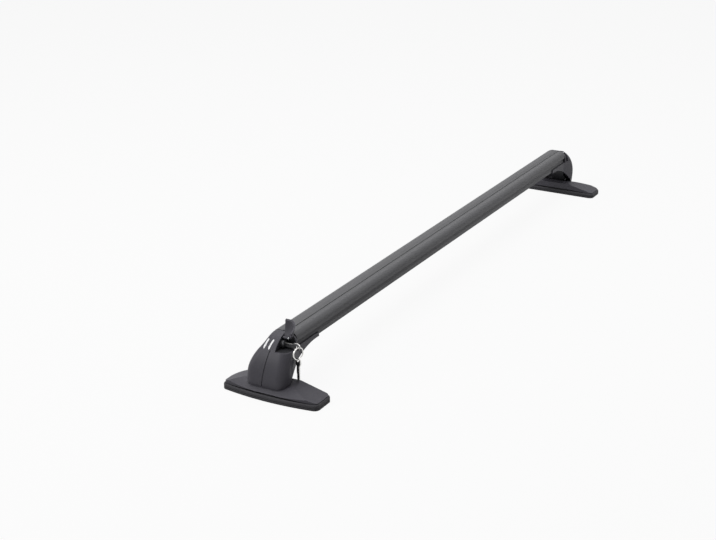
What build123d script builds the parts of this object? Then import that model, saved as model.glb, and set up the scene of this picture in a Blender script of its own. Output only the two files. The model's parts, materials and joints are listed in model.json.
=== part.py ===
"""Roof rack crossbar: one extruded bar on two lockable moulded feet.

Frame: millimetres, X along the bar, Y along the vehicle, +Z up, z = 0 on the
undersides of the two rubber pads. The left foot is modelled at -X and the
right foot is its mirror image about the YZ plane. Distances called "reach"
are measured inboard from the outermost point of a foot.
"""

import os
from math import sqrt

from build123d import *

# Overall
overall_length = 1200.0
half_length = overall_length / 2
joint_gap = 0.3

# Rubber pad
pad_half_length = 84.0
pad_width = 52.0
pad_bow = 8.0
pad_height = 9.0
pad_corner = 9.0
pad_back_corner = 26.0
pad_lip_round = 2.4
pad_line_z = 3.4
pad_line_height = 0.9
pad_line_depth = 0.9
tread_width = 3.0
tread_depth = 1.2
tread_pitch = 9.0
tread_count = 4
tread_margin = 30.0

# Base plate
plate_inset = 2.6
plate_rim = 2.0
plate_crown = 25.5
plate_crown_reach = 42.0
plate_shoulder_reach = 16.0
plate_shoulder_z = 19.0
plate_inner_z = 21.0
plate_front_tip = 10.0
plate_back_tip = 11.5
plate_crown_front = -18.0
plate_crown_back = 30.0
plate_back_mid = (58.0, 20.0)
plate_seat = 16.0
plate_gap_half_length = 74.0
plate_gap_height = 2.6
plate_gap_depth = 3.0

# Crossbar section
bar_top = 94.0
bar_height = 27.0
bar_half_width = 20.5
bar_shoulder = 9.0
bar_side_bottom = 12.5
bar_groove_half_width = 16.8
bar_lip_top = 10.5
bar_lip_half_width = 18.4
bar_lip_round = 2.0
bar_wall = 2.0
bar_end_gap = 1.4
bar_bottom = bar_top - bar_height

# Accessory slot on top, with its rubber strip
slot_mouth = 7.0
slot_lip = 2.0
slot_width = 12.0
slot_depth = 3.6
strip_cap_width = 9.0
strip_cap_height = 0.9

# Bolt channel underneath
channel_mouth = 7.4
channel_lip = 2.4
channel_width = 14.0
channel_depth = 6.0

# Leg cover
cover_wall = 2.4
seam_reach = 56.0
arch_reach = 9.0
arch_base = 26.0
arch_foot_reach = 11.6
arch_round_front = 16.0
arch_round_back = 11.0
cover_bottom = 13.4
leg_heel_reach = 28.0
leg_heel_z = 25.0
cheek_mid_reach = 60.0
cheek_mid_z = 51.5
cheek_tip_reach = 122.0
cheek_tip_z = 65.0
cheek_top_z = 72.0
leg_back_flank = ((42.5, 9.5), (41.5, 45.0), (28.0, 72.0))
leg_front_flank = ((-25.0, 9.5), (-27.9, 47.0), (-25.2, 74.0))
flank_front = -28.0
flank_back = 43.0
flank_front_reach = 22.0
flank_back_reach = 34.0
flank_front_end_reach = 62.0
flank_back_end_reach = 84.0
flank_bend = 24.0
crease_width = 2.4
crease_depth = 0.9
crease_foot = (13.4, 20.0)
crease_head = (5.0, 73.0)

# Trim inlays
trim_width = 2.7
trim_length = 11.8
trim_places = (15.6, 7.1)
trim_reach = 28.9
trim_turn = -14.0
trim_depth = 0.8
trim_proud = 0.3

# Lock pocket and housing
pocket_back = -3.0
pocket_depth = 21.4
pocket_rim = 3.0
housing_wall = 2.0
housing_floor = 1.6

# Lock
lock_setback = 1.6
lock_depth = 15.5
barrel_radius = 6.6
barrel_face = -8.4
barrel_tail = 10.0
barrel_rim = 0.8
plug_radius = 4.4
plug_proud = 0.5
running_fit = 0.06
lock_nut_width = 15.6
lock_nut_height = 3.0
cam_gap = 0.4
cam_thickness = 2.0
cam_half_width = 4.5
cam_length = 11.5

# Lock flap
flap_gap = 0.35
hinge_setback = 7.4
pin_radius = 1.0
pin_clearance = 0.1
pin_head_radius = 1.8
pin_head_height = 0.8
knuckle_radius = 2.1
knuckle_length = 9.0
flap_open_angle = 143.0

# Keys and split ring
key_thickness = 2.2
key_bow_width = 10.6
key_bow_length = 14.0
key_hole_radius = 2.6
key_hole_edge = 3.6
key_neck = 11.0
key_neck_width = 5.6
blade_length = 12.5
blade_width = 5.6
blade_thickness = 1.4
blade_cut = 1.1
blade_notches = 4
key_slot_fit = 0.12
ring_radius = 9.3
ring_wire = 1.0
ring_fit = 0.35
ring_turn = -18.0

# Steel bracket
strap_thickness = 4.0
strap_half_width = 13.4
strap_bend = 6.0
strap_toe_reach = 13.4
strap_heel_reach = 27.0
strap_knee_gap = -2.0
strap_past_seam = 56.0
strike_setback = 7.6
strike_drop = 7.5
strike_shelf_drop = 25.0
strike_thickness = 2.6
strike_near = 3.0
strike_far = 15.0

# Fasteners
bolt_radius = 3.0
bolt_head_width = 10.0
bolt_head_height = 4.0
nut_width = 9.0
nut_height = 4.6
bar_nut_width = 12.6
bar_nut_height = 4.4
base_bolt_reach = 17.8
base_bolt_places = (-8.0, 8.0)
bar_bolts_past_seam = (20.0, 44.0)
bolt_end = 1.5

# Places that follow from the sizes above
arch_span = seam_reach - arch_reach
arch_rise = bar_top - arch_base
plate_bottom = pad_height
pocket_floor = bar_top - pocket_depth
pocket_end_reach = seam_reach - pocket_rim
hinge_reach = pocket_end_reach - hinge_setback
hinge_share = (seam_reach - hinge_reach) / (arch_span - cover_wall)
inner_arch_z = arch_base + (arch_rise - cover_wall) * sqrt(1 - hinge_share**2)
hinge_z = inner_arch_z - pin_radius - pin_clearance
lock_reach = hinge_reach - lock_setback
lock_z = bar_top - lock_depth
strap_base_z = plate_seat + strap_thickness / 2
strap_top_z = bar_bottom - strap_thickness / 2
strap_knee_reach = seam_reach + strap_knee_gap
strap_end_reach = seam_reach + strap_past_seam
strike_reach = lock_reach - strike_setback
strike_top = lock_z - strike_drop
strike_shelf_z = lock_z - strike_shelf_drop
bar_bolt_reaches = [seam_reach + past for past in bar_bolts_past_seam]
slot_floor = bar_height - slot_lip - slot_depth
channel_roof = channel_lip + channel_depth


def at(reach):
    """X of a point on the left foot that lies this far inboard of its outermost point."""
    return reach - half_length


def foot_outline(inset=0.0):
    """Plan outline of pad and plate: bowed outboard edge and a rounder end towards +Y."""
    end = pad_half_length - inset
    with BuildSketch() as outline:
        with BuildLine():
            bow = ThreePointArc(
                (at(pad_bow + inset), end), (at(inset), 0), (at(pad_bow + inset), -end)
            )
            Polyline(bow @ 1, (at(pad_width - inset), -end), (at(pad_width - inset), end), bow @ 0)
        make_face()
        back_corners = outline.vertices().group_by(Axis.Y)[-1].sort_by(Axis.X)
        fillet(back_corners[-1], pad_back_corner - inset)
        back_corner = outline.vertices().filter_by(lambda corner: corner.Y > end - 1).sort_by(Axis.X)[0]
        fillet([back_corner, *outline.vertices().group_by(Axis.Y)[0]], pad_corner - inset)
    return outline.sketch


def leg_side_profile(inset=0.0):
    """Side view of the leg, outboard arch to the tip under the bar."""
    arch_start = at(arch_reach + inset)
    with BuildSketch() as profile:
        with BuildLine():
            arch = EllipticalCenterArc(
                (at(seam_reach), arch_base),
                arch_span - inset,
                arch_rise - inset,
                start_angle=90,
                arc_size=90,
            )
            tuck = TangentArc(
                (arch_start, arch_base),
                (at(arch_foot_reach + inset), cover_bottom),
                tangent=(0, -1),
            )
            Polyline(tuck @ 1, (at(leg_heel_reach), cover_bottom), (at(leg_heel_reach), leg_heel_z))
            ThreePointArc(
                (at(leg_heel_reach), leg_heel_z),
                (at(cheek_mid_reach), cheek_mid_z),
                (at(cheek_tip_reach), cheek_tip_z),
            )
            Polyline(
                (at(cheek_tip_reach), cheek_tip_z),
                (at(cheek_tip_reach), cheek_top_z),
                (at(seam_reach), cheek_top_z),
                arch @ 0,
            )
        make_face()
    return profile.sketch


def cavity_side_profile(inset):
    """Side view of the hollow of the leg, open inboard and towards the bar."""
    arch_start = at(arch_reach + inset)
    open_end = at(2 * cheek_tip_reach)
    with BuildSketch() as profile:
        with BuildLine():
            arch = EllipticalCenterArc(
                (at(seam_reach), arch_base),
                arch_span - inset,
                arch_rise - inset,
                start_angle=90,
                arc_size=90,
            )
            tuck = TangentArc(
                (arch_start, arch_base),
                (at(arch_foot_reach + inset), cover_bottom - inset),
                tangent=(0, -1),
            )
            Polyline(
                tuck @ 1,
                (open_end, cover_bottom - inset),
                (open_end, bar_top - inset),
                arch @ 0,
            )
        make_face()
    return profile.sketch


def leg_front_profile(inset=0.0):
    """View of the leg along the bar: two swelling flanks that draw in to the width of the bar."""
    top = bar_half_width - inset
    back_points = [(side - inset, height) for side, height in leg_back_flank]
    front_points = [(side + inset, height) for side, height in leg_front_flank]
    with BuildSketch() as profile:
        with BuildLine():
            back = Spline(*back_points, (top, bar_top), tangents=((0, 1), (0, 1)))
            front = Spline(*front_points, (-top, bar_top), tangents=((0, 1), (0, 1)))
            Line(back @ 1, front @ 1)
            Line(back @ 0, front @ 0)
        make_face()
    return profile.sketch


def leg_plan_profile(inset=0.0):
    """Plan view of the leg: full flanks outboard that taper to the cheeks along the bar."""
    cheek_side = bar_half_width + joint_gap - inset
    with BuildSketch() as profile:
        with BuildLine():
            Polyline(
                (at(0), flank_front + inset),
                (at(flank_front_reach), flank_front + inset),
                (at(flank_front_end_reach), -cheek_side),
                (at(2 * cheek_tip_reach), -cheek_side),
                (at(2 * cheek_tip_reach), cheek_side),
                (at(flank_back_end_reach), cheek_side),
                (at(flank_back_reach), flank_back - inset),
                (at(0), flank_back - inset),
                close=True,
            )
        make_face()
        knuckles = profile.vertices().sort_by(Axis.X)[2:6]
        fillet(knuckles, flank_bend)
    return profile.sketch


def shoulder_edges(part, side, inset=0.0):
    """The edges where the arched face and its tucked-in foot meet one flank of the leg."""
    outboard = at(arch_foot_reach + inset) + joint_gap

    def on_arch(edge):
        rises = abs((edge @ 0).Z - (edge @ 1).Z) > cover_wall
        return rises and edge.bounding_box().min.X < outboard and side * edge.center().Y > 0

    return part.edges().filter_by(on_arch)


# Rubber pad
with BuildPart() as pad:
    with BuildSketch():
        add(foot_outline())
    extrude(amount=pad_line_z)
    with BuildSketch(Plane.XY.offset(pad_line_z)):
        add(foot_outline(pad_line_depth))
    extrude(amount=pad_line_height)
    with BuildSketch(Plane.XY.offset(pad_line_z + pad_line_height)):
        add(foot_outline())
    extrude(amount=pad_height - pad_line_z - pad_line_height)
    fillet(pad.faces().sort_by(Axis.Z)[-1].outer_wire().edges(), pad_lip_round)
    with BuildSketch(Plane.XY):
        with Locations((at((pad_bow + pad_width) / 2), 0)):
            with GridLocations(tread_pitch, 1, tread_count, 1):
                SlotOverall(2 * (pad_half_length - tread_margin), tread_width, rotation=90)
    extrude(amount=tread_depth, mode=Mode.SUBTRACT)

# Shadow gap between the plate and the pad, widest in the middle
with BuildPart() as shadow_gap:
    with BuildSketch(Plane.YZ.offset(at(0))):
        with BuildLine():
            lens = ThreePointArc(
                (-plate_gap_half_length, plate_bottom),
                (0, plate_bottom + plate_gap_height),
                (plate_gap_half_length, plate_bottom),
            )
            Line(lens @ 1, lens @ 0)
        make_face()
    extrude(amount=pad_width)
    with BuildSketch(Plane.XY.offset(plate_bottom)):
        add(foot_outline(plate_inset + plate_gap_depth))
    extrude(amount=plate_gap_height, mode=Mode.SUBTRACT)

# Base plate: a low wedge that rises towards the leg, with a seat for the bracket
seat_length = strap_heel_reach - strap_toe_reach + 2 * strap_bend
with BuildPart() as base_plate:
    with BuildSketch(Plane.XY.offset(plate_bottom)):
        add(foot_outline(plate_inset))
    extrude(amount=plate_crown - plate_bottom)
    with BuildSketch(Plane.XZ):
        with BuildLine():
            rise = ThreePointArc(
                (at(plate_inset), plate_bottom + plate_rim),
                (at(plate_shoulder_reach), plate_shoulder_z),
                (at(plate_crown_reach), plate_crown),
            )
            fall = Line(rise @ 1, (at(pad_width), plate_inner_z))
            Polyline(
                fall @ 1,
                (at(pad_width), plate_bottom),
                (at(plate_inset), plate_bottom),
                rise @ 0,
            )
        make_face()
    extrude(amount=pad_half_length, both=True, mode=Mode.INTERSECT)
    with BuildSketch(Plane.YZ.offset(at(pad_width / 2))):
        with BuildLine():
            slope = Line((-pad_half_length, plate_front_tip), (plate_crown_front, plate_crown))
            crown = Line(slope @ 1, (plate_crown_back, plate_crown))
            nose = ThreePointArc(crown @ 1, plate_back_mid, (pad_half_length, plate_back_tip))
            Polyline(
                nose @ 1,
                (pad_half_length, plate_bottom),
                (-pad_half_length, plate_bottom),
                slope @ 0,
            )
        make_face()
    extrude(amount=pad_width, both=True, mode=Mode.INTERSECT)
    add(shadow_gap.part, mode=Mode.SUBTRACT)
    with BuildSketch(Plane.XY.offset(plate_seat)):
        with Locations((at(strap_toe_reach), 0)):
            Rectangle(
                seat_length,
                2 * strap_half_width + 2 * joint_gap,
                align=(Align.MIN, Align.CENTER),
            )
    extrude(amount=plate_crown, mode=Mode.SUBTRACT)
    with BuildSketch(Plane.XY.offset(plate_bottom)):
        for place in base_bolt_places:
            with Locations((at(base_bolt_reach), place)):
                RegularPolygon(bolt_head_width / 2 + joint_gap, 6, major_radius=False)
    extrude(amount=bolt_head_height, mode=Mode.SUBTRACT)
    with BuildSketch(Plane.XY.offset(plate_bottom)):
        for place in base_bolt_places:
            with Locations((at(base_bolt_reach), place)):
                Circle(bolt_radius + joint_gap)
    extrude(amount=plate_crown, mode=Mode.SUBTRACT)

# Solid envelope and hollow of the leg
with BuildPart() as leg_envelope:
    with BuildSketch(Plane.XZ):
        add(leg_side_profile())
    extrude(amount=2 * flank_back, both=True)
    with BuildSketch(Plane.YZ.offset(at(0))):
        add(leg_front_profile())
    extrude(amount=2 * cheek_tip_reach, both=True, mode=Mode.INTERSECT)
    fillet(shoulder_edges(leg_envelope.part, -1), arch_round_front)
    fillet(shoulder_edges(leg_envelope.part, 1), arch_round_back)
    with BuildSketch():
        add(leg_plan_profile())
    extrude(amount=2 * bar_top, mode=Mode.INTERSECT)

with BuildPart() as leg_cavity:
    with BuildSketch(Plane.XZ):
        add(cavity_side_profile(cover_wall))
    extrude(amount=2 * flank_back, both=True)
    with BuildSketch(Plane.YZ.offset(at(0))):
        add(leg_front_profile(cover_wall))
    extrude(amount=2 * cheek_tip_reach, both=True, mode=Mode.INTERSECT)
    fillet(shoulder_edges(leg_cavity.part, -1, cover_wall), arch_round_front - cover_wall)
    fillet(shoulder_edges(leg_cavity.part, 1, cover_wall), arch_round_back - cover_wall)
    with BuildSketch():
        add(leg_plan_profile(cover_wall))
    extrude(amount=2 * bar_top, mode=Mode.INTERSECT)


def arch_layer(depth, height):
    """A layer that follows the arched face, from depth below it to height above it."""
    with BuildPart() as layer:
        with BuildSketch(Plane.XZ):
            add(cavity_side_profile(-height))
            add(cavity_side_profile(depth), mode=Mode.SUBTRACT)
        extrude(amount=flank_back, both=True)
    return layer.part


# White trim inlays on the arch
with BuildPart() as trim_bars:
    with BuildSketch(Plane.XY.offset(plate_seat)):
        for place in trim_places:
            with Locations((at(trim_reach), place)):
                SlotOverall(trim_length, trim_width, rotation=trim_turn)
    extrude(amount=bar_top)
    add(arch_layer(trim_depth, trim_proud), mode=Mode.INTERSECT)

# Shallow crease down the outboard face
crease_path = Line(crease_foot, crease_head)
with BuildPart() as crease:
    with BuildSketch(Plane.YZ.offset(at(0))):
        with Locations(crease_path @ 0.5):
            SlotCenterToCenter(
                crease_path.length, crease_width, rotation=crease_path.tangent_angle_at(0.5)
            )
    extrude(amount=seam_reach)
    add(arch_layer(crease_depth, trim_proud), mode=Mode.INTERSECT)


def pocket_box(gap=0.0):
    """The corner of the leg that is cut away for the lock, smaller by a gap all round."""
    return Box(
        pocket_end_reach,
        2 * flank_back,
        bar_top,
        align=(Align.MAX, Align.MAX, Align.MIN),
        mode=Mode.PRIVATE,
    ).moved(Location((at(pocket_end_reach - gap), pocket_back - gap, pocket_floor + gap)))


# Leg cover: arched shell with two cheeks, open inboard
with BuildPart() as leg_cover:
    add(leg_envelope.part)
    add(leg_cavity.part, mode=Mode.SUBTRACT)
    add(pocket_box(), mode=Mode.SUBTRACT)
    add(trim_bars.part, mode=Mode.SUBTRACT)
    add(crease.part, mode=Mode.SUBTRACT)
    add(base_plate.part, mode=Mode.SUBTRACT)

# Crossbar extrusion with a slot on top and a bolt channel below
bar_end = half_length - seam_reach - bar_end_gap
bar_plane = Plane((-bar_end, 0, bar_bottom), x_dir=(0, 1, 0), z_dir=(1, 0, 0))
with BuildPart() as crossbar:
    with BuildSketch(bar_plane) as bar_section:
        with BuildLine():
            half_section = Polyline(
                (0, 0),
                (bar_lip_half_width, 0),
                (bar_lip_half_width, bar_lip_top - 2 * bar_lip_round),
                (bar_groove_half_width, bar_lip_top),
                (bar_groove_half_width, bar_side_bottom),
                (bar_half_width, bar_side_bottom + bar_lip_round),
                (bar_half_width, bar_height),
                (0, bar_height),
            )
            mirror(half_section, about=Plane.YZ)
        make_face()
        fillet(bar_section.vertices(Select.LAST).group_by(Axis.Y)[-1], bar_shoulder)
        with Locations((0, bar_height - slot_lip / 2)):
            Rectangle(slot_mouth, slot_lip, mode=Mode.SUBTRACT)
        with Locations((0, slot_floor + slot_depth / 2)):
            Rectangle(slot_width, slot_depth, mode=Mode.SUBTRACT)
        with Locations((0, channel_lip / 2)):
            Rectangle(channel_mouth, channel_lip, mode=Mode.SUBTRACT)
        with Locations((0, channel_lip + channel_depth / 2)):
            Rectangle(channel_width, channel_depth, mode=Mode.SUBTRACT)
        with Locations((0, (slot_floor + channel_roof) / 2)):
            RectangleRounded(
                2 * (bar_groove_half_width - bar_wall),
                slot_floor - channel_roof - 2 * bar_wall,
                bar_wall,
                mode=Mode.SUBTRACT,
            )
    extrude(amount=2 * bar_end)

# Rubber strip in the top slot
with BuildPart() as top_strip:
    with BuildSketch(bar_plane):
        with Locations((0, slot_floor + slot_depth / 2)):
            Rectangle(slot_width, slot_depth)
        with Locations((0, bar_height - slot_lip / 2)):
            Rectangle(slot_mouth, slot_lip)
        with Locations((0, bar_height + strip_cap_height / 2)):
            Rectangle(strip_cap_width, strip_cap_height)
    extrude(amount=2 * bar_end)
    fillet(top_strip.edges().filter_by(Axis.X).group_by(Axis.Z)[-1], strip_cap_height / 2)

# Steel bracket inside the leg, with the strike for the lock cam
with BuildPart() as bracket:
    with BuildSketch(Plane.XZ):
        with BuildLine():
            FilletPolyline(
                (at(strap_toe_reach), strap_base_z),
                (at(strap_heel_reach), strap_base_z),
                (at(strap_knee_reach), strap_top_z),
                (at(strap_end_reach), strap_top_z),
                radius=strap_bend,
            )
        trace(line_width=strap_thickness)
    extrude(amount=strap_half_width, both=True)
    strike_slope = (strike_shelf_z - strap_base_z) / (strap_top_z - strap_base_z)
    strike_root = strap_heel_reach + strike_slope * (strap_knee_reach - strap_heel_reach)
    strike_depth = strike_far - strike_near
    with BuildSketch(Plane.XZ.offset(-strike_far)):
        with BuildLine():
            Polyline(
                (at(strike_root), strike_shelf_z),
                (at(strike_reach + strike_thickness / 2), strike_shelf_z),
                (at(strike_reach + strike_thickness / 2), strike_top),
            )
        trace(line_width=strike_thickness)
    extrude(amount=strike_depth)
    with BuildSketch(Plane.XY.offset(plate_seat)):
        for place in base_bolt_places:
            with Locations((at(base_bolt_reach), place)):
                Circle(bolt_radius + joint_gap)
    extrude(amount=strap_thickness, mode=Mode.SUBTRACT)
    with BuildSketch(Plane.XY.offset(bar_bottom)):
        for reach in bar_bolt_reaches:
            with Locations((at(reach), 0)):
                Circle(bolt_radius + joint_gap)
    extrude(amount=-strap_thickness, mode=Mode.SUBTRACT)

# Bolts up through the plate and their nuts
base_bolt_top = plate_seat + strap_thickness + nut_height + bolt_end
with BuildPart() as base_bolts:
    with BuildSketch(Plane.XY.offset(plate_bottom)):
        for place in base_bolt_places:
            with Locations((at(base_bolt_reach), place)):
                RegularPolygon(bolt_head_width / 2, 6, major_radius=False)
    extrude(amount=bolt_head_height)
    with BuildSketch(Plane.XY.offset(plate_bottom + bolt_head_height)):
        for place in base_bolt_places:
            with Locations((at(base_bolt_reach), place)):
                Circle(bolt_radius)
    extrude(amount=base_bolt_top - plate_bottom - bolt_head_height)

with BuildPart() as base_nuts:
    with BuildSketch(Plane.XY.offset(plate_seat + strap_thickness)):
        for place in base_bolt_places:
            with Locations((at(base_bolt_reach), place)):
                RegularPolygon(nut_width / 2, 6, major_radius=False)
                Circle(bolt_radius, mode=Mode.SUBTRACT)
    extrude(amount=nut_height)

# Bolts up into the bar channel and their square nuts
bar_nut_z = bar_bottom + channel_lip
with BuildPart() as bar_bolts:
    with BuildSketch(Plane.XY.offset(bar_bottom - strap_thickness)):
        for reach in bar_bolt_reaches:
            with Locations((at(reach), 0)):
                RegularPolygon(bolt_head_width / 2, 6, major_radius=False)
    extrude(amount=-bolt_head_height)
    with BuildSketch(Plane.XY.offset(bar_bottom - strap_thickness)):
        for reach in bar_bolt_reaches:
            with Locations((at(reach), 0)):
                Circle(bolt_radius)
    extrude(amount=strap_thickness + channel_lip + bar_nut_height)

with BuildPart() as bar_nuts:
    with BuildSketch(Plane.XY.offset(bar_nut_z)):
        for reach in bar_bolt_reaches:
            with Locations((at(reach), 0)):
                RectangleRounded(bar_nut_width, bar_nut_width, bolt_end)
                Circle(bolt_radius, mode=Mode.SUBTRACT)
    extrude(amount=bar_nut_height)

# Lock housing: the black tub in the pocket, which holds the lock and the flap's pin
with BuildPart() as lock_housing:
    add(
        Box(
            seam_reach - arch_reach,
            2 * flank_back,
            bar_top,
            align=(Align.MAX, Align.MAX, Align.MIN),
            mode=Mode.PRIVATE,
        ).moved(
            Location((at(seam_reach), pocket_back + housing_wall, pocket_floor - housing_floor))
        )
    )
    add(leg_cavity.part, mode=Mode.INTERSECT)
    add(pocket_box(), mode=Mode.SUBTRACT)
    with BuildSketch(Plane.XZ.offset(-barrel_face)):
        with Locations((at(lock_reach), lock_z)):
            Circle(barrel_radius)
    extrude(amount=barrel_face - barrel_tail, mode=Mode.SUBTRACT)
    with BuildSketch(Plane.XZ.offset(-pocket_back)):
        with Locations((at(hinge_reach), hinge_z)):
            Circle(pin_radius)
    extrude(amount=-housing_wall, mode=Mode.SUBTRACT)

# Hinge pin of the flap, with a riveted head
pin_length = housing_wall + knuckle_length + 2 * flap_gap
with BuildPart() as flap_pin:
    with BuildSketch(Plane.XZ.offset(-pocket_back - housing_wall)):
        with Locations((at(hinge_reach), hinge_z)):
            Circle(pin_radius)
    extrude(amount=pin_length)
    with BuildSketch(Plane.XZ.offset(-pocket_back - housing_wall + pin_length)):
        with Locations((at(hinge_reach), hinge_z)):
            Circle(pin_head_radius)
    extrude(amount=pin_head_height)

# Lock flap, closed: the missing corner of the leg with a hinge knuckle
knuckle_start = pocket_back - flap_gap
with BuildPart() as flap_closed:
    add(leg_envelope.part)
    add(leg_cavity.part, mode=Mode.SUBTRACT)
    add(pocket_box(flap_gap), mode=Mode.INTERSECT)
    with BuildSketch(Plane.XZ):
        with Locations((at(hinge_reach), bar_top)):
            Rectangle(seam_reach, 2 * bar_height, align=(Align.MIN, Align.CENTER))
    extrude(amount=2 * flank_back, mode=Mode.SUBTRACT)
    with BuildSketch(Plane.XZ.offset(-knuckle_start)):
        with Locations((at(hinge_reach), hinge_z)):
            Circle(knuckle_radius)
        with Locations((at(hinge_reach), hinge_z)):
            Rectangle(2 * knuckle_radius, 1.2 * knuckle_radius, align=(Align.MAX, Align.MIN))
    extrude(amount=knuckle_length)
    with BuildSketch(Plane.XZ.offset(-knuckle_start + knuckle_length)):
        with Locations((at(hinge_reach), hinge_z)):
            Circle(pin_head_radius + joint_gap)
    extrude(amount=pin_head_height + 2 * joint_gap, mode=Mode.SUBTRACT)
    with BuildSketch(Plane.XZ):
        with Locations((at(hinge_reach), hinge_z)):
            Circle(pin_radius + running_fit)
    extrude(amount=2 * flank_back, mode=Mode.SUBTRACT)

hinge_axis = Axis((at(hinge_reach), 0, hinge_z), (0, 1, 0))
lock_point = (at(lock_reach), lock_z)

# Lock barrel, fixed in the housing, and the nut that clamps it
with BuildPart() as lock_barrel:
    with BuildSketch(Plane.XZ.offset(-barrel_face)):
        with Locations(lock_point):
            Circle(barrel_radius)
            Circle(plug_radius + running_fit, mode=Mode.SUBTRACT)
    extrude(amount=barrel_face - barrel_tail)
    chamfer(lock_barrel.edges().filter_by(GeomType.CIRCLE).sort_by(Axis.Y)[0], barrel_rim)

with BuildPart() as lock_nut:
    with BuildSketch(Plane.XZ.offset(-pocket_back - housing_wall)):
        with Locations(lock_point):
            RegularPolygon(lock_nut_width / 2, 6, major_radius=False)
            Circle(barrel_radius, mode=Mode.SUBTRACT)
    extrude(amount=-lock_nut_height)

# Lock plug with its keyway, and the cam on its tail
plug_face = barrel_face - plug_proud
cam_face = barrel_tail + cam_gap
with BuildPart() as lock_plug:
    with BuildSketch(Plane.XZ.offset(-plug_face)):
        with Locations(lock_point):
            Circle(plug_radius)
    extrude(amount=plug_face - cam_face)
    with BuildSketch(Plane.XZ.offset(-plug_face)):
        with Locations(lock_point):
            Rectangle(blade_thickness + 2 * key_slot_fit, blade_width + 2 * key_slot_fit)
    extrude(amount=-blade_length + key_slot_fit, mode=Mode.SUBTRACT)

with BuildPart() as lock_cam:
    with BuildSketch(Plane.XZ.offset(-cam_face)):
        with Locations(lock_point):
            Circle(plug_radius + barrel_rim)
        with Locations((at(lock_reach), lock_z - (cam_length - cam_half_width) / 2)):
            Rectangle(2 * cam_half_width, cam_length - cam_half_width)
        with Locations((at(lock_reach), lock_z - cam_length + cam_half_width)):
            Circle(cam_half_width)
    extrude(amount=-cam_thickness)


def key(plane):
    """A flat key on its own plane: the blade points along +y from the shoulder at the origin."""
    with BuildPart() as flat_key:
        with BuildSketch(plane):
            with Locations((0, -key_neck - key_bow_length / 2)):
                SlotOverall(key_bow_length, key_bow_width, rotation=90)
            Rectangle(
                key_neck_width,
                key_neck + key_bow_length / 2,
                align=(Align.CENTER, Align.MAX),
            )
            with Locations((0, -key_reach)):
                Circle(key_hole_radius, mode=Mode.SUBTRACT)
        extrude(amount=key_thickness / 2, both=True)
        with BuildSketch(plane):
            with BuildLine():
                Polyline(
                    (-blade_width / 2, 0),
                    (blade_width / 2, 0),
                    (blade_width / 2, blade_length - blade_width / 2),
                    (0, blade_length),
                    (-blade_width / 2, blade_length - blade_width / 2),
                    close=True,
                )
            make_face()
            for step in range(1, blade_notches + 1):
                with Locations((blade_width / 2, step * blade_length / (blade_notches + 1.5))):
                    Rectangle(2 * blade_cut, blade_cut, mode=Mode.SUBTRACT)
        extrude(amount=blade_thickness / 2, both=True)
    return flat_key.part


# Key in the lock: its blade runs towards +Y
key_reach = key_neck + key_bow_length - key_hole_edge
key_shoulder = plug_face - key_slot_fit
key_plane = Plane((at(lock_reach), key_shoulder, lock_z), x_dir=(0, 0, 1), z_dir=(-1, 0, 0))
lock_key = key(key_plane)

# Split ring through the bow of the key, turned a little outwards
ring_y = key_shoulder - key_reach
ring_top = lock_z - key_hole_radius + ring_wire + ring_fit
ring_centre = ring_top - ring_radius
ring_tangent = Vector(1, 0, 0).rotate(Axis.Z, ring_turn)
ring_normal = ring_tangent.rotate(Axis.Z, 90)
ring_plane = Plane((at(lock_reach), ring_y, ring_centre), x_dir=ring_normal, z_dir=ring_tangent)
with BuildPart() as split_ring:
    with BuildSketch(ring_plane):
        with Locations((0, ring_radius)):
            Circle(ring_wire)
    revolve(axis=Axis(ring_plane.origin, ring_normal))

# Spare key hanging from the ring, blade down
spare_hole_z = ring_centre - ring_radius + ring_wire + ring_fit - key_hole_radius
spare_plane = Plane(
    (at(lock_reach), ring_y, spare_hole_z - key_reach), x_dir=ring_normal, z_dir=-ring_tangent
)
spare_key = key(spare_plane)

# One file for each piece; the right foot mirrors the left one
foot_pieces = {
    "pad": pad.part,
    "base_plate": base_plate.part,
    "leg_cover": leg_cover.part,
    "trim_bars": trim_bars.part,
    "bracket": bracket.part,
    "base_bolts": base_bolts.part,
    "base_nuts": base_nuts.part,
    "bar_bolts": bar_bolts.part,
    "bar_nuts": bar_nuts.part,
    "lock_housing": lock_housing.part,
    "lock_barrel": lock_barrel.part,
    "lock_nut": lock_nut.part,
    "lock_plug": lock_plug.part,
    "lock_cam": lock_cam.part,
    "flap_pin": flap_pin.part,
}
pieces = {
    "crossbar": crossbar.part,
    "top_strip": top_strip.part,
    "lock_key": lock_key,
    "split_ring": split_ring.part,
    "spare_key": spare_key,
    "left_lock_flap": flap_closed.part.rotate(hinge_axis, flap_open_angle),
    "right_lock_flap": flap_closed.part.mirror(Plane.YZ),
}
for name, piece in foot_pieces.items():
    pieces["left_" + name] = piece
    pieces["right_" + name] = piece.mirror(Plane.YZ)

os.makedirs("parts", exist_ok=True)
for name, piece in pieces.items():
    piece.label = name
    export_step(piece, f"parts/{name}.step")
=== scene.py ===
"""Looks of the roof rack crossbar: materials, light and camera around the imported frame."""

import json
import math

import bmesh
import bpy
from mathutils import Matrix, Vector


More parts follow.
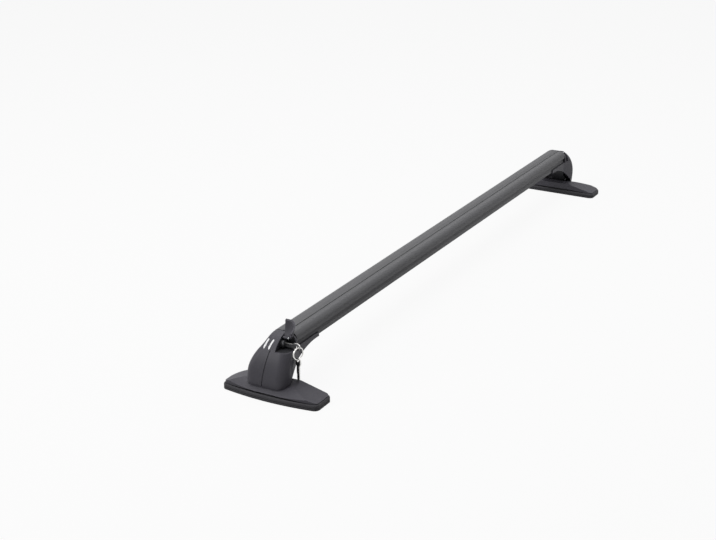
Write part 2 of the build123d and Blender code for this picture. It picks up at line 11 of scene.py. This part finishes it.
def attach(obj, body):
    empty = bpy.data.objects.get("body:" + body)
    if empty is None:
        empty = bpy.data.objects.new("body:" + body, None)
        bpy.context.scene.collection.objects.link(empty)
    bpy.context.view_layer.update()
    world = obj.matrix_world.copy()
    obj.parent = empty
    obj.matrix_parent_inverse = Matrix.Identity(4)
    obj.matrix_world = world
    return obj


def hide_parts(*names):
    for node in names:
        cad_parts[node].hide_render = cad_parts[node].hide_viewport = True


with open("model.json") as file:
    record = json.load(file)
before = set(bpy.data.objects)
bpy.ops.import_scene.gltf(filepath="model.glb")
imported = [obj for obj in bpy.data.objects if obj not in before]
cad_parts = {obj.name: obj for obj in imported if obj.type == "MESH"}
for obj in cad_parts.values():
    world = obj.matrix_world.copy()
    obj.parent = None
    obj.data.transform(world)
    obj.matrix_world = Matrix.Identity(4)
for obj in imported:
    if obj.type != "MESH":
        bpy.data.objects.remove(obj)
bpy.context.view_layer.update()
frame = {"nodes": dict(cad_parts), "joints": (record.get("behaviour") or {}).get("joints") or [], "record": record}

# Camera, fitted to the photograph: metres and degrees in the frame of the part
camera_place = Vector((-2.2455, -1.0697, 0.9668))
camera_azimuth = math.radians(-60.98)
camera_elevation = math.radians(21.11)
camera_lens = 73.26
sensor_width = 36.0
clip_near = 0.05
clip_far = 60.0

# Split ring: the joints at its top and bottom give its place, size and plane
joints = {joint["name"]: joint for joint in frame["joints"]}
ring_top = Vector(joints["ring_swing"]["pos_m"])
ring_bottom = Vector(joints["spare_key_swing"]["pos_m"])
ring_centre = (ring_top + ring_bottom) / 2
ring_radius = (ring_top - ring_bottom).length / 2
ring_tangent = -Vector(joints["ring_swing"]["axis"]).normalized()

# Wire of the split ring, in metres: half its thickness across and along the ring's axis, its pitch
wire_radial = 0.0009
wire_axial = 0.0005
coil_pitch = 0.001
# Turns of the wire, the angle where they start, and the parts the mesh is divided into
coil_turns = 2
coil_start = math.radians(60.0)
coil_steps = 144
wire_sides = 12
# Share of the wire's length over which it crosses from the first turn to the second
crossing_share = 0.16

# Painted highlight on sharp edges and painted shade in crevices: metres, and rays per sample
edge_width = 0.0009
edge_samples = 6
crevice_reach = 0.006
crevice_samples = 8
# Likeness of the rounded normal to the true one where the painted edge highlight starts and where it is full
edge_likeness = (0.98, 0.8)
# Openness at which the painted crevice shade is darkest and at which it ends
crevice_openness = (0.35, 0.8)

# Range that holds most of a noise's values
noise_low = 0.3
noise_high = 0.7

# Colours, linear
bar_grey = (0.106, 0.106, 0.111)
plastic_grey = (0.044, 0.042, 0.051)
rubber_grey = (0.035, 0.034, 0.038)
strip_grey = (0.095, 0.095, 0.099)
pocket_grey = (0.010, 0.010, 0.012)
trim_white = (0.82, 0.82, 0.83)
zinc_grey = (0.52, 0.53, 0.54)
lock_grey = (0.045, 0.045, 0.048)
nickel_grey = (0.80, 0.79, 0.77)
key_grey = (0.10, 0.10, 0.104)
bracket_grey = (0.018, 0.018, 0.020)
floor_white = (0.52, 0.52, 0.52)
pure_white = (1.0, 1.0, 1.0)

# Floor in metres, and the share of plain white in what is seen of it
floor_half = 12.0
floor_drop = 0.0002
floor_glow_share = 0.92

# Strength of the background as it is seen and as it lights the object
seen_strength = 1.0
room_strength = 0.15


def tinted(colour, factor=1.0):
    """A lighter or darker version of a colour, with full alpha."""
    return tuple(min(channel * factor, 1.0) for channel in colour) + (1.0,)


def smooth_step(value):
    """A value held between 0 and 1, with a soft start and end."""
    held = min(max(value, 0.0), 1.0)
    return held * held * (3 - 2 * held)


class Shader:
    """A node material with a principled shader and helpers for procedural detail."""

    def __init__(self, name):
        self.material = bpy.data.materials.new(name)
        self.material.use_nodes = True
        self.tree = self.material.node_tree
        self.principled = self.tree.nodes["Principled BSDF"]
        coordinates = self.tree.nodes.new("ShaderNodeTexCoord")
        self.place = coordinates.outputs["Object"]
        self.direction = coordinates.outputs["Normal"]

    def link(self, source, target):
        self.tree.links.new(source, target)

    def stretched(self, scale):
        """Object coordinates stretched along the axes."""
        mapping = self.tree.nodes.new("ShaderNodeMapping")
        mapping.inputs["Scale"].default_value = scale
        self.link(self.place, mapping.inputs["Vector"])
        return mapping.outputs["Vector"]

    def noise(self, scale, detail=3.0, stretch=(1, 1, 1)):
        """Cloudy noise, which can be drawn out along an axis."""
        texture = self.tree.nodes.new("ShaderNodeTexNoise")
        texture.inputs["Scale"].default_value = scale
        texture.inputs["Detail"].default_value = detail
        self.link(self.stretched(stretch), texture.inputs["Vector"])
        return texture.outputs["Fac"]

    def grain(self, scale):
        """Small round cells, as on a spark-eroded mould."""
        texture = self.tree.nodes.new("ShaderNodeTexVoronoi")
        texture.inputs["Scale"].default_value = scale
        self.link(self.place, texture.inputs["Vector"])
        return texture.outputs["Distance"]

    def facing_bar(self):
        """How far a surface faces along the bar, from 0 to 1."""
        parts = self.tree.nodes.new("ShaderNodeSeparateXYZ")
        self.link(self.direction, parts.inputs["Vector"])
        size = self.tree.nodes.new("ShaderNodeMath")
        size.operation = "ABSOLUTE"
        self.link(parts.outputs["X"], size.inputs[0])
        return size.outputs["Value"]

    def shades(self, value, colour, dark, light, low=noise_low):
        """A colour that follows a noise from a darker to a lighter version of itself."""
        node = self.tree.nodes.new("ShaderNodeValToRGB")
        first, last = node.color_ramp.elements
        first.position = low
        first.color = tinted(colour, dark)
        last.position = noise_high
        last.color = tinted(colour, light)
        self.link(value, node.inputs["Fac"])
        return node.outputs["Color"]

    def span(self, value, source, target=(0.0, 1.0)):
        """A value carried from one range to another and held within it."""
        node = self.tree.nodes.new("ShaderNodeMapRange")
        node.inputs["From Min"].default_value = source[0]
        node.inputs["From Max"].default_value = source[1]
        node.inputs["To Min"].default_value = target[0]
        node.inputs["To Max"].default_value = target[1]
        self.link(value, node.inputs["Value"])
        return node.outputs["Result"]

    def mix(self, share, first, second):
        """The first colour where the share is 0, the second where it is 1."""
        node = self.tree.nodes.new("ShaderNodeMix")
        node.data_type = "RGBA"
        self.link(share, node.inputs["Factor"])
        self.link(first, node.inputs["A"])
        self.link(second, node.inputs["B"])
        return node.outputs["Result"]

    def openness(self):
        """How open a spot is, from 0 in a crevice to 1 in the open."""
        node = self.tree.nodes.new("ShaderNodeAmbientOcclusion")
        node.samples = crevice_samples
        node.inputs["Distance"].default_value = crevice_reach
        return node.outputs["AO"]

    def edge(self):
        """How close a spot is to a sharp edge, from 0 to 1."""
        rounded = self.tree.nodes.new("ShaderNodeBevel")
        rounded.samples = edge_samples
        rounded.inputs["Radius"].default_value = edge_width
        flat = self.tree.nodes.new("ShaderNodeNewGeometry")
        likeness = self.tree.nodes.new("ShaderNodeVectorMath")
        likeness.operation = "DOT_PRODUCT"
        self.link(rounded.outputs["Normal"], likeness.inputs[0])
        self.link(flat.outputs["Normal"], likeness.inputs[1])
        return self.span(likeness.outputs["Value"], edge_likeness)

    def painted_highlight_and_shade(self, value, colour, edge_highlight_gain):
        """A colour with a painted highlight on sharp edges and painted shade in crevices."""
        patches = self.noise(scale=60.0)
        light = self.shades(patches, colour, dark=edge_highlight_gain, light=edge_highlight_gain * 1.2)
        dark = self.shades(patches, colour, dark=0.2, light=0.3)
        # Painted highlight: the lighter colour where the surface is near a sharp edge
        edge_highlighted = self.mix(self.edge(), value, light)
        # Painted shade: the darker colour where ambient occlusion finds a crevice
        crevice_shade_share = self.span(self.openness(), crevice_openness, (1.0, 0.0))
        return self.mix(crevice_shade_share, edge_highlighted, dark)

    def set(self, socket, value):
        self.principled.inputs[socket].default_value = value

    def colour(self, value):
        self.link(value, self.principled.inputs["Base Color"])

    def rough(self, value):
        self.link(value, self.principled.inputs["Roughness"])

    def bump(self, height, strength, distance):
        node = self.tree.nodes.new("ShaderNodeBump")
        node.inputs["Strength"].default_value = strength
        node.inputs["Distance"].default_value = distance
        self.link(height, node.inputs["Height"])
        self.link(node.outputs["Normal"], self.principled.inputs["Normal"])


def moulded_plastic(name, colour, roughness, grain_scale):
    """Satin moulded plastic: fine spark-eroded grain, faint cloudy gloss and colour."""
    shader = Shader(name)
    clouds = shader.noise(scale=22.0, detail=4.0)
    specks = shader.noise(scale=900.0, detail=2.0)
    base = shader.shades(clouds, colour, dark=0.9, light=1.1)
    speckled = shader.shades(clouds, colour, dark=1.05, light=1.3)
    mottled = shader.mix(shader.span(specks, (0.45, 0.75)), base, speckled)
    # Painted highlight on sharp edges and painted shade in crevices, over the mottled colour
    shader.colour(shader.painted_highlight_and_shade(mottled, colour, edge_highlight_gain=1.8))
    shader.rough(shader.span(clouds, (0.25, 0.75), (roughness - 0.05, roughness + 0.07)))
    shader.set("Specular IOR Level", 0.26)
    shader.bump(shader.grain(grain_scale), strength=0.22, distance=0.0002)
    return shader.material


def rubber(name, colour, roughness):
    """Matte rubber: slight bloom, dust in the pores."""
    shader = Shader(name)
    bloom = shader.noise(scale=16.0, detail=5.0)
    pores = shader.noise(scale=1400.0, detail=2.0)
    base = shader.shades(bloom, colour, dark=0.88, light=1.12)
    dusty = shader.shades(bloom, colour, dark=1.1, light=1.45)
    mottled = shader.mix(shader.span(pores, (0.5, 0.8)), base, dusty)
    # Painted highlight on sharp edges and painted shade in crevices, over the mottled colour
    shader.colour(shader.painted_highlight_and_shade(mottled, colour, edge_highlight_gain=2.2))
    shader.rough(shader.span(bloom, (0.25, 0.75), (roughness - 0.06, roughness + 0.06)))
    shader.set("Specular IOR Level", 0.2)
    shader.bump(pores, strength=0.15, distance=0.0002)
    return shader.material


def coated_extrusion(name, colour):
    """Grey coated aluminium: die lines along the bar under a fine satin texture."""
    shader = Shader(name)
    lines = shader.noise(scale=420.0, stretch=(0.006, 1, 1))
    clouds = shader.noise(scale=9.0)
    texture = shader.noise(scale=1100.0, detail=2.0)
    even = shader.shades(clouds, colour, dark=0.95, light=1.05)
    lined = shader.shades(lines, colour, dark=0.92, light=1.12, low=0.35)
    mottled = shader.mix(shader.span(texture, (noise_low, noise_high), (0.25, 0.75)), even, lined)
    # Painted highlight on sharp edges and painted shade in crevices, over the mottled colour
    shader.colour(shader.painted_highlight_and_shade(mottled, colour, edge_highlight_gain=1.3))
    shader.rough(shader.span(lines, (noise_low, noise_high), (0.36, 0.46)))
    shader.set("Specular IOR Level", 0.1)
    shader.bump(texture, strength=0.1, distance=0.0001)
    return shader.material


def bare_metal(name, colour, roughness, metallic=1.0):
    """Plated metal: fine scratches, small tarnish spots."""
    shader = Shader(name)
    scratches = shader.noise(scale=260.0, detail=4.0, stretch=(0.15, 1, 1))
    spots = shader.noise(scale=120.0)
    bright = shader.shades(scratches, colour, dark=0.88, light=1.1)
    dull = shader.shades(scratches, colour, dark=0.6, light=0.85)
    shader.colour(shader.mix(shader.span(spots, (0.58, 0.75), (0.0, 0.7)), bright, dull))
    roughness_range = (roughness - 0.06, roughness + 0.1)
    shader.rough(shader.span(scratches, (noise_low, noise_high), roughness_range))
    shader.set("Metallic", metallic)
    shader.bump(scratches, strength=0.06, distance=0.0001)
    return shader.material


def key_with_painted_rim_highlight(name, flat_colour, rim_highlight_colour):
    """Key: dark satin flats, which face along the bar, and a rim painted bright as a highlight."""
    shader = Shader(name)
    scratches = shader.noise(scale=260.0, detail=4.0, stretch=(1, 0.15, 1))
    flats = shader.shades(scratches, flat_colour, dark=0.8, light=1.2)
    rim_highlight = shader.shades(scratches, rim_highlight_colour, dark=0.9, light=1.05)
    # Painted highlight: surfaces that do not face along the bar take the bright rim colour
    rim_highlight_share = shader.span(shader.facing_bar(), (0.75, 0.85), (1.0, 0.0))
    shader.colour(shader.mix(rim_highlight_share, flats, rim_highlight))
    shader.rough(shader.span(scratches, (noise_low, noise_high), (0.22, 0.36)))
    shader.set("Metallic", 0.6)
    shader.bump(scratches, strength=0.06, distance=0.0001)
    return shader.material


def gloss_inlay(name, colour):
    """Bright inlay: a glossy white film with faint specks."""
    shader = Shader(name)
    specks = shader.noise(scale=700.0, detail=2.0)
    shader.colour(shader.shades(specks, colour, dark=0.93, light=1.03))
    shader.rough(shader.span(specks, (noise_low, noise_high), (0.22, 0.32)))
    shader.bump(specks, strength=0.04, distance=0.0001)
    return shader.material


# Look of each material slot of the record
looks = {
    "bar_metal": coated_extrusion("bar_coating", bar_grey),
    "strip_rubber": rubber("strip_rubber_look", strip_grey, roughness=0.62),
    "pad_rubber": rubber("pad_rubber_look", rubber_grey, roughness=0.6),
    "black_plastic": moulded_plastic(
        "black_plastic_look", plastic_grey, roughness=0.48, grain_scale=1500.0
    ),
    "pocket_black": moulded_plastic("pocket_look", pocket_grey, roughness=0.55, grain_scale=1500.0),
    "white_trim": gloss_inlay("white_trim_look", trim_white),
    "zinc_steel": bare_metal("zinc_look", zinc_grey, roughness=0.32),
    "lock_metal": bare_metal("lock_look", lock_grey, roughness=0.36, metallic=0.6),
    # Key with its rim painted bright as a highlight
    "key_metal": key_with_painted_rim_highlight("key_look", key_grey, nickel_grey),
    "bracket_black": moulded_plastic("bracket_look", bracket_grey, roughness=0.42, grain_scale=1800.0),
    "ring_chrome": bare_metal("ring_look", nickel_grey, roughness=0.18),
}
slot_of_node = {entry["node"]: entry["material_slot"] for entry in frame["record"]["subparts"]}
for node_name, node in frame["nodes"].items():
    node.data.materials.clear()
    node.data.materials.append(looks[slot_of_node[node_name]])


# Split ring as a flat double coil of wire
def split_ring_coil():
    """Two turns of flattened wire side by side, with blunt ends, in the plane of the CAD ring."""
    upright = Vector((0, 0, 1))
    ring_axis = upright.cross(ring_tangent)
    mesh_builder = bmesh.new()
    loops = []
    for step in range(coil_steps + 1):
        share = step / coil_steps
        angle = coil_start + 2 * math.pi * coil_turns * share
        outward = ring_tangent * math.cos(angle) + upright * math.sin(angle)
        crossed = smooth_step(0.5 + (share - 0.5) / crossing_share)
        middle = ring_centre + outward * ring_radius + ring_axis * coil_pitch * (crossed - 0.5)
        loop = []
        for side in range(wire_sides):
            turn = 2 * math.pi * side / wire_sides
            radial = outward * math.cos(turn) * wire_radial
            axial = ring_axis * math.sin(turn) * wire_axial
            loop.append(mesh_builder.verts.new(middle + radial + axial))
        loops.append(loop)
    for first, second in zip(loops, loops[1:]):
        for side in range(wire_sides):
            after = (side + 1) % wire_sides
            mesh_builder.faces.new((first[side], first[after], second[after], second[side]))
    mesh_builder.faces.new(loops[0][::-1])
    mesh_builder.faces.new(loops[-1])
    bmesh.ops.recalc_face_normals(mesh_builder, faces=mesh_builder.faces)
    mesh = bpy.data.meshes.new("split_ring_coil")
    mesh_builder.to_mesh(mesh)
    mesh_builder.free()
    mesh.shade_smooth()
    mesh.materials.append(looks["ring_chrome"])
    piece = bpy.data.objects.new("split_ring_coil", mesh)
    bpy.context.scene.collection.objects.link(piece)
    return piece


ring_piece = split_ring_coil()
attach(ring_piece, "ring")
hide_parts("split_ring")


def seen_share(tree):
    """1 for rays from the camera, from reflections and through glass, else 0."""
    path = tree.nodes.new("ShaderNodeLightPath")
    share = path.outputs["Is Camera Ray"]
    for ray in ("Is Glossy Ray", "Is Transmission Ray"):
        larger = tree.nodes.new("ShaderNodeMath")
        larger.operation = "MAXIMUM"
        tree.links.new(share, larger.inputs[0])
        tree.links.new(path.outputs[ray], larger.inputs[1])
        share = larger.outputs["Value"]
    return share


def blend_shaders(tree, share, first, second, output):
    """Sends the first shader to the output where the share is 0, the second where it is 1."""
    blend = tree.nodes.new("ShaderNodeMixShader")
    tree.links.new(share, blend.inputs[0])
    tree.links.new(first.outputs[0], blend.inputs[1])
    tree.links.new(second.outputs[0], blend.inputs[2])
    tree.links.new(blend.outputs[0], output.inputs["Surface"])


# Floor, white where it is seen, with a faint shadow
def floor_look():
    """Plain white where it is seen, with a little of the lit floor and its shadow mixed in."""
    material = bpy.data.materials.new("floor_look")
    material.use_nodes = True
    tree = material.node_tree
    tree.nodes.clear()
    diffuse = tree.nodes.new("ShaderNodeBsdfDiffuse")
    diffuse.inputs["Color"].default_value = tinted(floor_white)
    glow = tree.nodes.new("ShaderNodeEmission")
    glow.inputs["Color"].default_value = tinted(pure_white)
    glow.inputs["Strength"].default_value = seen_strength
    share = tree.nodes.new("ShaderNodeMath")
    share.operation = "MULTIPLY"
    share.inputs[1].default_value = floor_glow_share
    tree.links.new(seen_share(tree), share.inputs[0])
    output = tree.nodes.new("ShaderNodeOutputMaterial")
    blend_shaders(tree, share.outputs["Value"], diffuse, glow, output)
    return material


def make_floor():
    """A large square just below the pads."""
    corners = [
        (-floor_half, -floor_half, 0),
        (floor_half, -floor_half, 0),
        (floor_half, floor_half, 0),
        (-floor_half, floor_half, 0),
    ]
    mesh = bpy.data.meshes.new("floor")
    mesh.from_pydata(corners, [], [(0, 1, 2, 3)])
    mesh.materials.append(floor_look())
    floor = bpy.data.objects.new("floor", mesh)
    floor.location.z = -floor_drop
    bpy.context.scene.collection.objects.link(floor)
    return floor


make_floor()


# Light: an even white room and three soft boxes
def make_world():
    """White where it is seen, and a dim even light on the object."""
    world = bpy.data.worlds.new("studio")
    bpy.context.scene.world = world
    world.use_nodes = True
    tree = world.node_tree
    room = tree.nodes["Background"]
    room.inputs["Color"].default_value = tinted(pure_white)
    room.inputs["Strength"].default_value = room_strength
    backdrop = tree.nodes.new("ShaderNodeBackground")
    backdrop.inputs["Color"].default_value = tinted(pure_white)
    backdrop.inputs["Strength"].default_value = seen_strength
    blend_shaders(tree, seen_share(tree), room, backdrop, tree.nodes["World Output"])


def soft_box(name, place, target, size, power):
    """A rectangular lamp that faces a target: metres and watts."""
    lamp = bpy.data.lights.new(name, "AREA")
    lamp.shape = "RECTANGLE"
    lamp.size, lamp.size_y = size
    lamp.energy = power
    holder = bpy.data.objects.new(name, lamp)
    bpy.context.scene.collection.objects.link(holder)
    holder.location = place
    aim = Vector(target) - Vector(place)
    holder.rotation_mode = "QUATERNION"
    holder.rotation_quaternion = aim.to_track_quat("-Z", "Y")


make_world()
soft_box("top_box", place=(-0.2, 0.3, 2.4), target=(-0.1, 0, 0.05), size=(2.6, 1.8), power=58.0)
soft_box("side_box", place=(-2.4, 1.6, 1.4), target=(-0.4, 0, 0.05), size=(1.4, 1.4), power=36.0)
soft_box("front_box", place=(0.9, -1.2, 1.0), target=(0.55, 0, 0.06), size=(0.8, 0.8), power=4.0)


# Camera
def make_camera():
    """The camera of the photograph, without roll."""
    optics = bpy.data.cameras.new("camera")
    optics.lens = camera_lens
    optics.sensor_width = sensor_width
    optics.sensor_fit = "HORIZONTAL"
    optics.clip_start = clip_near
    optics.clip_end = clip_far
    camera = bpy.data.objects.new("camera", optics)
    bpy.context.scene.collection.objects.link(camera)
    flat_share = math.cos(camera_elevation)
    back = Vector(
        (
            math.sin(camera_azimuth) * flat_share,
            -math.cos(camera_azimuth) * flat_share,
            math.sin(camera_elevation),
        )
    )
    right = Vector((math.cos(camera_azimuth), math.sin(camera_azimuth), 0))
    up = back.cross(right)
    turned = Matrix((right, up, back)).transposed()
    camera.matrix_world = Matrix.Translation(camera_place) @ turned.to_4x4()
    return camera


bpy.context.scene.camera = make_camera()
bpy.context.scene.view_settings.view_transform = "Standard"
